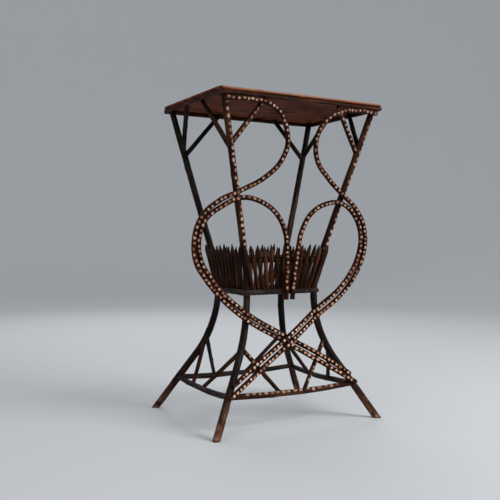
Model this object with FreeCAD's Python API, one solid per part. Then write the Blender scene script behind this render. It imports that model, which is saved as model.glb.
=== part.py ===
import FreeCAD, Part
import os
from FreeCAD import Vector

# Rustic twig table: a thin board on four bent sapling legs that close in to a
# picket basket at the waist and splay out again to the floor. Stretchers and
# braces tie the legs, and four bent rods draw two loops and a cross in front.
# Millimetres, +Z up, +X to the right, the decorated front faces -Y.

# Overall stand
table_height = 740.0
lean_right = 18.0
lean_front = 11.0
lean_pivot_share = 0.5

# Top board and the twigs nailed under its edge
board_length = 440.0
board_width = 304.0
board_thickness = 7.0
board_corner_radius = 9.0
rim_diameter = 9.0

# Legs
leg_diameter = 15.5
foot_span_x = 423.0
foot_span_y = 359.0
foot_skew = 8.5
knee_span_x = 135.0
knee_span_y = 113.0
knee_shift = -4.5
knee_height_share = 0.335
knee_radius = 260.0

# Stretchers and braces
stretcher_diameter = 12.0
stretcher_height_share = 0.107
stretcher_sag = 6.0
top_brace_diameter = 11.0
base_brace_diameter = 9.5

# Basket at the waist
basket_height_share = 0.3935
basket_floor_thickness = 8.0
basket_floor_rise = 7.0
base_rail_diameter = 11.0
base_rail_rise = 6.0
base_rail_left_overhang = 21.0
base_rail_right_overhang = 3.0
base_rail_back_setback = 5.0
base_rail_side_setback = 28.0
top_rail_diameter = 15.0
top_rail_share = 0.715
picket_width = 11.0
picket_thickness = 6.0
picket_length = 112.0
picket_point = 17.0
picket_foot_step = 6.0
long_picket_count = 14
short_picket_count = 10

# Bent rods of the front
rod_diameter = 11.0
rod_end_overhang = 5.0
loop_reach = 230.0
crossing_share = 1.1

# Wire nails
nail_diameter = 1.8
nail_head_diameter = 4.4
nail_head_thickness = 0.9
nail_head_bed = 0.4
nail_bite = 5.0
brad_diameter = 1.2
brad_head_diameter = 2.6

# Room left between bark and bark, and how far every cut runs past its piece
seat_gap = 0.2
rod_gap = 0.35
overrun = 30.0
path_samples = 240

# Heights that follow from the sizes above
board_underside = table_height - board_thickness
rim_height = board_underside - rim_diameter / 2 - seat_gap
leg_radius = leg_diameter / 2
rod_radius = rod_diameter / 2
leg_inset = rim_diameter + seat_gap + leg_radius
top_span_x = board_length - 2 * leg_inset
top_span_y = board_width - 2 * leg_inset
knee_height = table_height * knee_height_share
stretcher_height = table_height * stretcher_height_share
picket_foot_height = table_height * basket_height_share
picket_top_height = picket_foot_height + picket_length
basket_floor_top = picket_foot_height + basket_floor_rise
base_rail_height = picket_foot_height + base_rail_rise
top_rail_height = picket_foot_height + picket_length * top_rail_share

LEFT, RIGHT, FRONT, BACK = -1, 1, -1, 1
X_WORD = {LEFT: "left", RIGHT: "right"}
Y_WORD = {FRONT: "front", BACK: "back"}
UP = Vector(0, 0, 1)

pieces = {}
nails = {}
holes = {}


def lean(height):
    """How far the table's middle has drifted at a height."""
    share = height / table_height - lean_pivot_share
    return Vector(lean_right * share, -lean_front * share, 0)


# Nails. Each one is kept with its kind, and cut out of the pieces it holds

def drive_nail(kind, start, aim, *held, shank=nail_diameter, head=nail_head_diameter):
    """A round-headed nail whose head beds at the start and whose point is at the aim."""
    run = (aim - start).normalize()
    seat = start + run * nail_head_bed
    top = seat - run * nail_head_thickness
    body = Part.makeCylinder(shank / 2, (aim - top).Length, top, run)
    cap = Part.makeCylinder(head / 2, nail_head_thickness, top, run)
    nail = body.fuse(cap).removeSplitter().Solids[0]
    nails.setdefault(kind, []).append(nail)
    for name in held:
        holes.setdefault(name, []).append(nail)


# A slanting nail starts this share of the stick's diameter from the joint and
# ends this share of the carrier's radius short of its axis
toe_back_share = 0.8
toe_aim_share = 0.4


def toe_nail(kind, joint, along, carrier_diameter, stick_diameter, outward, *held):
    """A nail driven slantwise through a stick's end into what carries it."""
    side = (outward - along * outward.dot(along)).normalize()
    back = carrier_diameter / 2 + stick_diameter * toe_back_share
    start = joint + along * back + side * (stick_diameter / 2)
    aim = joint + along * (carrier_diameter / 2 * toe_aim_share)
    drive_nail(kind, start, aim, *held)


# Paths of bent wood: tangent arcs through a few points

def circle_tangents(points):
    """Direction of the curve at each point, from the circle through its neighbours."""
    tangents = []
    for before, here, after in zip(points, points[1:], points[2:]):
        back = here - before
        ahead = after - here
        turn = back * (1 / back.dot(back)) + ahead * (1 / ahead.dot(ahead))
        tangents.append(turn.normalize())
    first = (points[1] - points[0]).normalize()
    last = (points[-1] - points[-2]).normalize()
    start = first * (2 * first.dot(tangents[0])) - tangents[0]
    end = last * (2 * last.dot(tangents[-1])) - tangents[-1]
    return [start] + tangents + [end]


def arc_edge(start, corner, end):
    """The arc from start to end whose end tangents meet at the corner point."""
    middle = (start + end) * 0.5
    rise = corner - middle
    half_chord = (end - start).Length / 2
    if rise.Length < half_chord * 1e-6:
        return Part.LineSegment(start, end).toShape()
    leg = (corner - start).Length
    sagitta = half_chord * rise.Length / (half_chord + leg)
    crown = middle + rise * (sagitta / rise.Length)
    return Part.Arc(start, crown, end).toShape()


def bent_path(points):
    """A wire of tangent arcs, two to each span, through three or more points."""
    tangents = circle_tangents(points)
    edges = []
    for i in range(len(points) - 1):
        a, b = points[i], points[i + 1]
        ta, tb = tangents[i], tangents[i + 1]
        span = b - a
        both = ta + tb
        along = span.dot(both)
        bend = 2 * (1 - ta.dot(tb))
        reach = span.dot(span) / (along + (along ** 2 + bend * span.dot(span)) ** 0.5)
        corner_a = a + ta * reach
        corner_b = b - tb * reach
        joint = (corner_a + corner_b) * 0.5
        edges.append(arc_edge(a, corner_a, joint))
        edges.append(arc_edge(joint, corner_b, b))
    return Part.Wire(edges)


def kneed_path(low, knee, high, radius):
    """Two straight runs that would meet at the knee point, joined by one bend."""
    down = (low - knee).normalize()
    up = (high - knee).normalize()
    crease = (down + up).normalize()
    cosine = crease.dot(up)
    sine = (1 - cosine ** 2) ** 0.5
    reach = radius * cosine / sine
    start = knee + down * reach
    end = knee + up * reach
    crown = knee + crease * (radius / sine - radius)
    return Part.Wire([
        Part.LineSegment(low, start).toShape(),
        Part.Arc(start, crown, end).toShape(),
        Part.LineSegment(end, high).toShape(),
    ])


def lengthened(points, at_start, at_end):
    """Points with a straight end piece added at either end."""
    tangents = circle_tangents(points)
    first = [points[0] - tangents[0] * at_start] if at_start else []
    last = [points[-1] + tangents[-1] * at_end] if at_end else []
    return first + points + last


def twig(path, diameter):
    """A round stick along a path."""
    start = path.Edges[0].firstVertex().Point
    edge = path.Edges[0]
    direction = edge.tangentAt(edge.FirstParameter)
    section = Part.Wire([Part.makeCircle(diameter / 2, start, direction)])
    return path.makePipeShell([section], True, False)


def stick(start, end, diameter):
    """A straight round stick."""
    run = end - start
    return Part.makeCylinder(diameter / 2, run.Length, start, run)


def slab(low, high):
    """A block wider than the table between two heights, for flat saw cuts."""
    reach = table_height + overrun
    return Part.makeBox(2 * reach, 2 * reach, high - low, Vector(-reach, -reach, low))


def largest(shape):
    """The stick itself, without the offcuts that a saddle cut leaves."""
    return max(shape.Solids, key=lambda solid: solid.Volume)


# Legs: a straight splayed foot, one bend at the waist and a straight flare.
# The knee sizes give the point where the two straight runs would meet.

def leg_name(side_x, side_y):
    return "leg_%s_%s" % (Y_WORD[side_y], X_WORD[side_x])


leg_axis = {}
for side_x in (LEFT, RIGHT):
    for side_y in (FRONT, BACK):
        skew = side_y * foot_skew
        foot = Vector(side_x * foot_span_x / 2 + skew, side_y * foot_span_y / 2, 0)
        knee_x = side_x * knee_span_x / 2 + knee_shift
        knee = Vector(knee_x, side_y * knee_span_y / 2, knee_height)
        top = Vector(side_x * top_span_x / 2, side_y * top_span_y / 2, board_underside)
        foot, knee, top = (point + lean(point.z) for point in (foot, knee, top))
        low = foot + (foot - knee).normalize() * overrun
        high = top + (top - knee).normalize() * overrun
        path = kneed_path(low, knee, high, knee_radius)
        leg_axis[side_x, side_y] = path.discretize(Number=path_samples)
        sawn = twig(path, leg_diameter).common(slab(0, board_underside))
        pieces[leg_name(side_x, side_y)] = largest(sawn)


def leg_at(side_x, side_y, height):
    """Point on a leg's axis at a height, and the leg's direction there."""
    axis = leg_axis[side_x, side_y]
    for low, high in zip(axis, axis[1:]):
        if low.z <= height <= high.z:
            share = (height - low.z) / (high.z - low.z)
            return low + (high - low) * share, (high - low).normalize()
    raise ValueError("no leg at height %s" % height)


def saddle(point, direction, diameter):
    """A round cutter along a stick, for the hollow that a neighbour's end gets."""
    radius = diameter / 2 + seat_gap
    return Part.makeCylinder(radius, 2 * overrun, point - direction * overrun, direction)


def leg_saddle(side_x, side_y, height):
    point, direction = leg_at(side_x, side_y, height)
    return saddle(point, direction, leg_diameter)


# Top board and rim

board_middle = lean(table_height)
corner = Vector(-board_length / 2, -board_width / 2, board_underside) + board_middle
board = Part.makeBox(board_length, board_width, board_thickness, corner)
upright = [e for e in board.Edges if abs(e.tangentAt(e.FirstParameter).z) > 0.5]
pieces["top_board"] = board.makeFillet(board_corner_radius, upright)

rim_x = board_length / 2 - rim_diameter / 2
rim_y = board_width / 2 - rim_diameter / 2
rim_long = board_length / 2 - board_corner_radius / 2
rim_short = rim_y - rim_diameter / 2 - seat_gap
for side in (FRONT, BACK):
    a = Vector(-rim_long, side * rim_y, rim_height) + board_middle
    b = Vector(rim_long, side * rim_y, rim_height) + board_middle
    pieces["rim_%s" % Y_WORD[side]] = stick(a, b, rim_diameter)
for side in (LEFT, RIGHT):
    a = Vector(side * rim_x, -rim_short, rim_height) + board_middle
    b = Vector(side * rim_x, rim_short, rim_height) + board_middle
    pieces["rim_%s" % X_WORD[side]] = stick(a, b, rim_diameter)

# Nails through the board, flush with its top, into the rim and the leg tops.
# Places along a rim are shares of its half length.
rim_nail_shares = {
    "front": (-0.6, 0.05, 0.62),
    "back": (-0.58, 0.0, 0.6),
    "left": (-0.5, 0.52),
    "right": (-0.55, 0.5),
}


def board_nail(x, y, depth, name):
    start = Vector(x, y, table_height - nail_head_thickness + nail_head_bed)
    drive_nail("board_nails", start, Vector(x, y, depth), "top_board", name)


for face, shares in rim_nail_shares.items():
    for share in shares:
        if face in Y_WORD.values():
            side = BACK if face == "back" else FRONT
            place = board_middle + Vector(share * rim_long, side * rim_y, 0)
        else:
            side = RIGHT if face == "right" else LEFT
            place = board_middle + Vector(side * rim_x, share * rim_short, 0)
        board_nail(place.x, place.y, rim_height, "rim_%s" % face)
for side_x, side_y in leg_axis:
    place, _ = leg_at(side_x, side_y, board_underside)
    board_nail(place.x, place.y, board_underside - leg_diameter, leg_name(side_x, side_y))

# The four faces of the table, each from its first leg to its second, and the
# way that each looks

faces = {
    "front": ((LEFT, FRONT), (RIGHT, FRONT)),
    "back": ((LEFT, BACK), (RIGHT, BACK)),
    "left": ((LEFT, FRONT), (LEFT, BACK)),
    "right": ((RIGHT, FRONT), (RIGHT, BACK)),
}
outlook = {
    "front": Vector(0, FRONT, 0),
    "back": Vector(0, BACK, 0),
    "left": Vector(LEFT, 0, 0),
    "right": Vector(RIGHT, 0, 0),
}

# Stretchers, coped onto the legs and sagging a little

stretcher_axis = {}
for face, (first, second) in faces.items():
    a, _ = leg_at(*first, stretcher_height)
    b, _ = leg_at(*second, stretcher_height)
    middle = (a + b) * 0.5 - UP * stretcher_sag
    path = Part.Wire([Part.Arc(a, middle, b).toShape()])
    stretcher_axis[face] = path.discretize(Number=path_samples)
    whole = twig(path, stretcher_diameter)
    name = "stretcher_%s" % face
    for leg, start, end in ((first, a, b), (second, b, a)):
        whole = whole.cut(leg_saddle(*leg, stretcher_height))
        along = (end - start).normalize()
        toe_nail(
            "stretcher_nails", start, along, leg_diameter, stretcher_diameter,
            outlook[face], name, leg_name(*leg),
        )
    pieces[name] = largest(whole)


def brace_name(level, face, leg):
    """A brace is named for its face and for the leg that it springs from."""
    own_word = X_WORD[leg[0]] if face in Y_WORD.values() else Y_WORD[leg[1]]
    return "%s_brace_%s_%s" % (level, face, own_word)


# Top braces: from each leg up to the board along both faces that it stands in.
# A row gives the share of the board's height where the brace leaves the leg
# and the share of the face that it reaches along the board.

top_brace_shares = {
    ("front", 0): (0.85, 0.27),
    ("front", 1): (0.845, 0.27),
    ("back", 0): (0.845, 0.33),
    ("back", 1): (0.86, 0.28),
    ("left", 0): (0.835, 0.40),
    ("left", 1): (0.86, 0.33),
    ("right", 0): (0.865, 0.36),
    ("right", 1): (0.87, 0.32),
}
for (face, end), (root_share, reach_share) in top_brace_shares.items():
    own = faces[face][end]
    other = faces[face][1 - end]
    root_height = root_share * board_underside
    root, _ = leg_at(*own, root_height)
    near, _ = leg_at(*own, board_underside)
    far, _ = leg_at(*other, board_underside)
    tip = near + (far - near) * reach_share
    past = tip + (tip - root).normalize() * overrun
    whole = stick(root, past, top_brace_diameter)
    whole = whole.cut(leg_saddle(*own, root_height)).common(slab(0, board_underside))
    name = brace_name("top", face, own)
    pieces[name] = largest(whole)
    along = (tip - root).normalize()
    toe_nail(
        "top_brace_nails", root, along, leg_diameter, top_brace_diameter,
        outlook[face], name, leg_name(*own),
    )
    under = tip - along * (top_brace_diameter / 2)
    below = Vector(under.x, under.y, under.z - top_brace_diameter / 2 / along.dot(UP))
    aim = Vector(under.x, under.y, board_underside + board_thickness / 2)
    drive_nail("top_brace_nails", below, aim, name, "top_board")

# Base braces: from each leg down to the stretchers on both its faces. A row
# gives the root's height in stretcher heights and the share of the stretcher.

base_brace_shares = {
    ("front", 0): (2.2, 0.40),
    ("front", 1): (2.28, 0.42),
    ("back", 0): (2.28, 0.30),
    ("back", 1): (2.24, 0.43),
    ("left", 0): (2.12, 0.50),
    ("left", 1): (2.16, 0.32),
    ("right", 0): (2.04, 0.37),
    ("right", 1): (1.98, 0.31),
}
for (face, end), (root_share, reach_share) in base_brace_shares.items():
    own = faces[face][end]
    root_height = root_share * stretcher_height
    root, _ = leg_at(*own, root_height)
    axis = stretcher_axis[face]
    place = reach_share if end == 0 else 1 - reach_share
    index = round(place * (path_samples - 1))
    foot = axis[index]
    along = (axis[index + 1] - axis[index - 1]).normalize()
    whole = stick(root, foot, base_brace_diameter)
    whole = whole.cut(leg_saddle(*own, root_height))
    whole = whole.cut(saddle(foot, along, stretcher_diameter))
    name = brace_name("base", face, own)
    pieces[name] = largest(whole)
    down = (foot - root).normalize()
    toe_nail(
        "base_brace_nails", root, down, leg_diameter, base_brace_diameter,
        outlook[face], name, leg_name(*own),
    )
    toe_nail(
        "base_brace_nails", foot, -down, stretcher_diameter, base_brace_diameter,
        outlook[face], name, "stretcher_%s" % face,
    )

# Basket. Its four picket rows stand between the legs at their feet and fan out
# past them at their tips, on the outside of rails that run from leg to leg.

def between_legs(height):
    """Middle of the legs at a height, and half the width and depth between their axes."""
    axes = [leg_at(*leg, height)[0] for leg in leg_axis]
    middle = sum(axes, Vector(0, 0, 0)) / len(axes)
    half_x = sum(abs(axis.x - middle.x) for axis in axes) / len(axes)
    half_y = sum(abs(axis.y - middle.y) for axis in axes) / len(axes)
    return middle, half_x, half_y


low_middle, low_x, low_y = between_legs(picket_foot_height)
high_middle, high_x, high_y = between_legs(picket_top_height)
# How far the flat backs of the pickets stand out from the legs' axes at the top
# rails and at the tips, and how far along the row the end pickets stand from
# the legs' axes at their feet and at their tips, where the rows meet
rail_step = top_rail_diameter / 2 + 3 * seat_gap
tip_step = picket_foot_step + (rail_step - picket_foot_step) / top_rail_share
foot_clear = leg_radius + 3 * seat_gap + picket_width / 2
tip_clear = picket_width / 2 + seat_gap - tip_step
foot_half = Vector(low_x + picket_foot_step, low_y + picket_foot_step, 0)
tip_half = Vector(high_x + tip_step, high_y + tip_step, 0)
slope = (tip_half - foot_half) / picket_length


def basket_at(height):
    """Middle of the basket at a height, and half its size between the pickets' backs."""
    rise = height - picket_foot_height
    middle = low_middle + (high_middle - low_middle) * (rise / picket_length)
    return middle, foot_half + slope * rise


floor_low = basket_floor_top - basket_floor_thickness
floor_middle, floor_half = basket_at(floor_low)
floor_x = floor_half.x - seat_gap
floor_y = floor_half.y - seat_gap
corner = floor_middle - Vector(floor_x, floor_y, 0)
floor = Part.makeBox(2 * floor_x, 2 * floor_y, basket_floor_thickness, corner)
for side_x, side_y in leg_axis:
    floor = floor.cut(leg_saddle(side_x, side_y, basket_floor_top))
pieces["basket_floor"] = largest(floor)


def picket(foot, tip, outward):
    """A split twig, flat inside and round outside, cut to a point at the top."""
    length = (tip - foot).Length
    half = picket_width / 2
    bulge = Part.Arc(
        Vector(-half, 0, 0), Vector(0, picket_thickness, 0), Vector(half, 0, 0)
    ).toShape()
    flat = Part.LineSegment(Vector(half, 0, 0), Vector(-half, 0, 0)).toShape()
    half_round = Part.Face(Part.Wire([bulge, flat])).extrude(UP * length)
    outline = Part.makePolygon([
        Vector(-half, 0, 0),
        Vector(half, 0, 0),
        Vector(half, 0, length - picket_point),
        Vector(0, 0, length),
        Vector(-half, 0, length - picket_point),
        Vector(-half, 0, 0),
    ])
    pointed = Part.Face(outline).extrude(Vector(0, picket_thickness, 0))
    shape = half_round.common(pointed)
    up = (tip - foot).normalize()
    turn = FreeCAD.Rotation(Vector(0, 0, 0), outward, up, "ZYX")
    shape.Placement = FreeCAD.Placement(foot, turn)
    return shape.Solids[0]


# The pickets nearest the legs are held at their feet alone, clear of the nails
# in the rails' ends
end_picket_count = 1
# Hand-cut pickets differ a little in length; the shares repeat along a row
picket_length_shares = (1.0, 0.965, 1.01, 0.98, 1.025, 0.955, 0.99)

picket_feet = {}
for face in faces:
    row = []
    picket_feet[face] = []
    long_side = face in Y_WORD.values()
    count = long_picket_count if long_side else short_picket_count
    side = BACK if face in ("back", "right") else FRONT
    for number in range(count):
        place = 2 * number / (count - 1) - 1
        if long_side:
            foot = Vector(place * (low_x - foot_clear), side * foot_half.y, 0)
            tip = Vector(place * (high_x - tip_clear), side * tip_half.y, 0)
        else:
            foot = Vector(side * foot_half.x, place * (low_y - foot_clear), 0)
            tip = Vector(side * tip_half.x, place * (high_y - tip_clear), 0)
        foot = low_middle + foot
        tip = high_middle + tip
        picket_feet[face].append(foot)
        level = (top_rail_height - picket_foot_height) / picket_length
        inner = foot + (tip - foot) * level
        outer = inner + outlook[face] * picket_thickness
        aim = inner - outlook[face] * (seat_gap + top_rail_diameter / 2)
        row_name = "pickets_%s" % face
        if end_picket_count <= number < count - end_picket_count:
            drive_nail(
                "picket_brads", outer, aim, row_name, "basket_top_rail_%s" % face,
                shank=brad_diameter, head=brad_head_diameter,
            )
        share = picket_length_shares[number % len(picket_length_shares)]
        tip = foot + (tip - foot) * share
        row.append(picket(foot, tip, outlook[face]))
    pieces[row_name] = Part.makeCompound(row)

# Rails: the top ones run inside the pickets from leg to leg, the base ones
# run along the outside of the pickets' feet

rail_middle, rail_half = basket_at(top_rail_height)
half_x = rail_half.x - rail_step
half_y = rail_half.y - rail_step
for face, (first, second) in faces.items():
    side = BACK if face in ("back", "right") else FRONT
    if face in Y_WORD.values():
        a = rail_middle + Vector(-half_x, side * half_y, 0)
        b = rail_middle + Vector(half_x, side * half_y, 0)
    else:
        a = rail_middle + Vector(side * half_x, -half_y, 0)
        b = rail_middle + Vector(side * half_x, half_y, 0)
    whole = stick(a, b, top_rail_diameter)
    name = "basket_top_rail_%s" % face
    for leg, start, end in ((first, a, b), (second, b, a)):
        whole = whole.cut(leg_saddle(*leg, top_rail_height))
        toe_nail(
            "rail_nails", start, (end - start).normalize(), leg_diameter,
            top_rail_diameter, -UP, name, leg_name(*leg),
        )
    pieces[name] = largest(whole)

rail_middle, rail_half = basket_at(base_rail_height)
half_x = rail_half.x - picket_foot_step
half_y = rail_half.y - picket_foot_step
base_rail_step = picket_thickness + seat_gap + base_rail_diameter / 2
rail_x = rail_half.x + base_rail_step * (1 + slope.x ** 2) ** 0.5
rail_y = rail_half.y + base_rail_step * (1 + slope.y ** 2) ** 0.5
# Where each rail starts and ends: the front one runs past the left corner, and
# the others stop short of the corners behind the pickets
right_end = half_x + base_rail_right_overhang
back_end = half_y - base_rail_side_setback
base_rail_ends = {
    "front": (-half_x - base_rail_left_overhang, right_end),
    "back": (-half_x + base_rail_back_setback, right_end),
    "left": (-rail_y + base_rail_diameter / 2 + seat_gap, back_end),
    "right": (-back_end, back_end),
}
# Pickets, counted along their row, whose feet the rail is nailed through
base_rail_nailed = {
    "front": (2, 11),
    "back": (2, 7, 11),
    "left": (2, 7),
    "right": (2, 7),
}
for face, (start, end) in base_rail_ends.items():
    side = BACK if face in ("back", "right") else FRONT
    if face in Y_WORD.values():
        a = rail_middle + Vector(start, side * rail_y, 0)
        b = rail_middle + Vector(end, side * rail_y, 0)
    else:
        a = rail_middle + Vector(side * rail_x, start, 0)
        b = rail_middle + Vector(side * rail_x, end, 0)
    name = "basket_base_rail_%s" % face
    pieces[name] = stick(a, b, base_rail_diameter)
    middle = (a + b) / 2
    for number in base_rail_nailed[face]:
        foot = picket_feet[face][number]
        rail = middle + (b - a).normalize() * (foot - middle).dot((b - a).normalize())
        start = rail + outlook[face] * (base_rail_diameter / 2)
        aim = rail - outlook[face] * (base_rail_step + nail_bite)
        drive_nail("rail_nails", start, aim, name, "pickets_%s" % face, "basket_floor")

# Bent rods of the front. A row says what holds the rod there and gives its
# place: "own" and "other" are the front leg on the rod's side and the one
# across, "top" the own leg just under the rim, "rim" and "rail" the front rim
# and the basket's front base rail, "over" and "under" the crossing, and "free"
# a stretch that nothing holds. Places are shares of the loops' reach and of
# the table's height, but "top" and "rim" give the drop below the rim as a
# share of the drop at which rod and rim touch.

rod_shares = {
    "scroll_rod_left": (
        ("top", None, 1.09),
        ("rim", -0.63, 1.02),
        ("rim", -0.41, 1.37),
        ("free", -0.257, 0.943),
        ("free", -0.161, 0.896),
        ("free", -0.135, 0.849),
        ("free", -0.196, 0.799),
        ("free", -0.378, 0.745),
        ("own", None, 0.706),
        ("free", -0.822, 0.677),
        ("free", -0.996, 0.631),
        ("free", -1.074, 0.561),
        ("free", -1.043, 0.493),
        ("free", -0.930, 0.442),
        ("free", -0.739, 0.380),
        ("own", None, 0.3155),
        ("under", -0.078, 0.249),
        ("free", 0.274, 0.184),
        ("other", None, 0.1160),
    ),
    "scroll_rod_right": (
        ("top", None, 1.09),
        ("rim", 0.70, 1.02),
        ("rim", 0.504, 1.37),
        ("free", 0.343, 0.942),
        ("free", 0.235, 0.901),
        ("free", 0.200, 0.851),
        ("free", 0.239, 0.804),
        ("free", 0.383, 0.757),
        ("own", None, 0.700),
        ("free", 0.757, 0.670),
        ("free", 0.883, 0.619),
        ("free", 0.928, 0.555),
        ("free", 0.891, 0.495),
        ("free", 0.796, 0.438),
        ("free", 0.648, 0.381),
        ("own", None, 0.329),
        ("over", 0.043, 0.262),
        ("free", -0.304, 0.197),
        ("other", None, 0.110),
    ),
    "hook_rod_left": (
        ("rail", -0.048, 0.377),
        ("rail", -0.046, 0.403),
        ("free", -0.044, 0.460),
        ("free", -0.048, 0.530),
        ("free", -0.078, 0.5865),
        ("free", -0.174, 0.638),
        ("free", -0.365, 0.676),
        ("own", None, 0.6855),
        ("free", -0.785, 0.660),
        ("free", -0.952, 0.620),
        ("free", -1.017, 0.557),
        ("free", -0.987, 0.4985),
        ("free", -0.887, 0.4515),
        ("free", -0.704, 0.393),
        ("own", None, 0.3335),
        ("under", -0.052, 0.2635),
        ("free", 0.296, 0.2020),
        ("other", None, 0.1425),
    ),
    "hook_rod_right": (
        ("rail", 0.024, 0.377),
        ("rail", 0.030, 0.403),
        ("free", 0.046, 0.460),
        ("free", 0.078, 0.530),
        ("free", 0.117, 0.5865),
        ("free", 0.209, 0.638),
        ("free", 0.383, 0.673),
        ("own", None, 0.678),
        ("free", 0.726, 0.657),
        ("free", 0.837, 0.611),
        ("free", 0.876, 0.554),
        ("free", 0.841, 0.500),
        ("free", 0.752, 0.447),
        ("free", 0.609, 0.3945),
        ("own", None, 0.350),
        ("over", 0.009, 0.2757),
        ("free", -0.335, 0.2115),
        ("other", None, 0.1435),
    ),
}

rail_front = rail_middle.y - rail_y - base_rail_diameter / 2
rim_drop = (rim_diameter + rod_diameter) / 2 + rod_gap
# A rod's nail stands this share of its head's width along from the row's place
rod_nail_share = 0.8
# The lie of a rod across a leg depends on its own slope, so it settles in rounds
settling_rounds = 4


def row_height(hold, z_share):
    """Height of a row's place above the floor."""
    if hold in ("top", "rim"):
        return rim_height - rim_drop * z_share
    return table_height * z_share


def row_leg(hold, side):
    """The front leg that a row lies on, if any."""
    return {"own": side, "top": side, "other": -side}.get(hold)


def held_depths(table, side, points):
    """How deep each held row lies, by its number, for a rod that runs through the points."""
    depths = {}
    for i, (hold, _, z_share) in enumerate(table):
        if row_leg(hold, side):
            leg, slope = leg_at(row_leg(hold, side), FRONT, row_height(hold, z_share))
            run = points[min(i + 1, len(points) - 1)] - points[max(i - 1, 0)]
            across = slope.cross(run).normalize()
            depths[i] = leg.y - (leg_radius + rod_radius + rod_gap) / abs(across.y)
        if hold == "rim":
            depths[i] = board_middle.y - rim_y
        if hold == "rail":
            depths[i] = rail_front - rod_radius - seat_gap
    return depths


def rod_points(table, side):
    """The rod's rows as points, held where the table says and eased in between."""
    points = []
    for hold, x_share, z_share in table:
        height = row_height(hold, z_share)
        if row_leg(hold, side):
            leg, _ = leg_at(row_leg(hold, side), FRONT, height)
            points.append(Vector(leg.x, 0, height))
        else:
            points.append(Vector(x_share * loop_reach, 0, height))
    travel = [0]
    for before, here in zip(points, points[1:]):
        travel.append(travel[-1] + (here - before).Length)
    for _ in range(settling_rounds):
        depths = held_depths(table, side, points)
        for i, point in enumerate(points):
            before = max(k for k in depths if k <= i)
            after = min(k for k in depths if k >= i)
            depth = depths[before]
            if after > before:
                share = (travel[i] - travel[before]) / (travel[after] - travel[before])
                depth = depth + (depths[after] - depth) * share
            step = {"over": -1, "under": 1}.get(table[i][0], 0)
            point.y = depth + step * (rod_radius + rod_gap) * crossing_share
    return points


for name, table in rod_shares.items():
    side = LEFT if name.endswith("left") else RIGHT
    points = rod_points(table, side)
    at_start = rod_end_overhang if name.startswith("scroll") else 0
    path = bent_path(lengthened(points, at_start, rod_end_overhang))
    pieces[name] = twig(path, rod_diameter)
    tangents = circle_tangents(points)
    for point, tangent, (hold, _, _) in zip(points, tangents, table):
        point = point + tangent * (nail_head_diameter * rod_nail_share)
        front = point - Vector(0, rod_radius, 0)
        if row_leg(hold, side):
            carrier = leg_name(row_leg(hold, side), FRONT)
            aim = point + Vector(0, rod_radius + nail_bite, 0)
            drive_nail("rod_nails", front, aim, name, carrier)
        if hold == "rail" and point.z > base_rail_height - base_rail_diameter / 2:
            aim = point + Vector(0, rod_radius + nail_bite, 0)
            drive_nail("rod_nails", front, aim, name, "basket_base_rail_front")

# Nail holes, then the nails themselves

for name, shanks in holes.items():
    pieces[name] = pieces[name].cut(shanks)
for kind, group in nails.items():
    pieces[kind] = Part.makeCompound(group)

# Stand the table with the middle of its outline box at the origin

box = Part.makeCompound(list(pieces.values())).optimalBoundingBox(False, False)
shift = Vector(-box.Center.x, -box.Center.y, -box.ZMin)
os.makedirs("parts", exist_ok=True)
for name, shape in pieces.items():
    shape.translate(shift)
    shape.exportStep("parts/%s.step" % name)
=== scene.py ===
import math
from bisect import bisect_right

import bmesh
import bpy
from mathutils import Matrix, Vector, noise


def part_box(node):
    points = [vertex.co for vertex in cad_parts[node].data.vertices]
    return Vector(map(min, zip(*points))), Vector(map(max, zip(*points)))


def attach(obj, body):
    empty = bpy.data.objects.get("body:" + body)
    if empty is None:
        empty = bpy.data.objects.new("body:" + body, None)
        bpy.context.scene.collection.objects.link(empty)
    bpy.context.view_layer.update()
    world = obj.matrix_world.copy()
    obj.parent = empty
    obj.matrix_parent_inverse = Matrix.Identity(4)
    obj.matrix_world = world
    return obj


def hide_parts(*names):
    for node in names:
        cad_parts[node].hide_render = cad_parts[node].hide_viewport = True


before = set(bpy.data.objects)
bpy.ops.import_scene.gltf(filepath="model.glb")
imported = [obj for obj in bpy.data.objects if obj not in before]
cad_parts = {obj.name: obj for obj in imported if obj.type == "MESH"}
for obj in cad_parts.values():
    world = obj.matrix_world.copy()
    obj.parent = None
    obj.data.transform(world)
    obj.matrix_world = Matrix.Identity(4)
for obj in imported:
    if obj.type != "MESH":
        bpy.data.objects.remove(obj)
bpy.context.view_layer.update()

# LEGS
# Four bent saplings in dark brown bark, splayed at the floor, closed in at the
# waist and flared to the board. Each is one straight foot, one long bend and
# one straight flare. A row of chips is cut from the front of the front pair.

UP = Vector((0, 0, 1))
FRONTWARD = Vector((0, -1, 0))
LEFT, RIGHT, FRONT, BACK = -1, 1, -1, 1
SIDE_WORD = {LEFT: "left", RIGHT: "right"}
DEPTH_WORD = {FRONT: "front", BACK: "back"}

# How far the bark is gone at a stick's ends, on a scuffed foot, where a saw went
# through and on the inside of a split twig
END_BARE, SCUFF_BARE, SAWN_BARE, SPLIT_BARE = 0.14, 0.36, 0.4, 0.26
# How far a knot spreads along a stick, and how far round it in radians
KNOT_LENGTH, KNOT_SPREAD = 0.007, 0.9

board_low, board_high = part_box("top_board")
board_top = board_high.z
board_underside = board_low.z
lean_right, lean_front = 0.018, 0.011


def middle(height):
    """Middle of the table at a height: the old frame leans to the right and forward."""
    share = height / board_top - 1
    centre = (board_low + board_high) / 2
    return Vector((centre.x + lean_right * share, centre.y - lean_front * share, 0))


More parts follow.
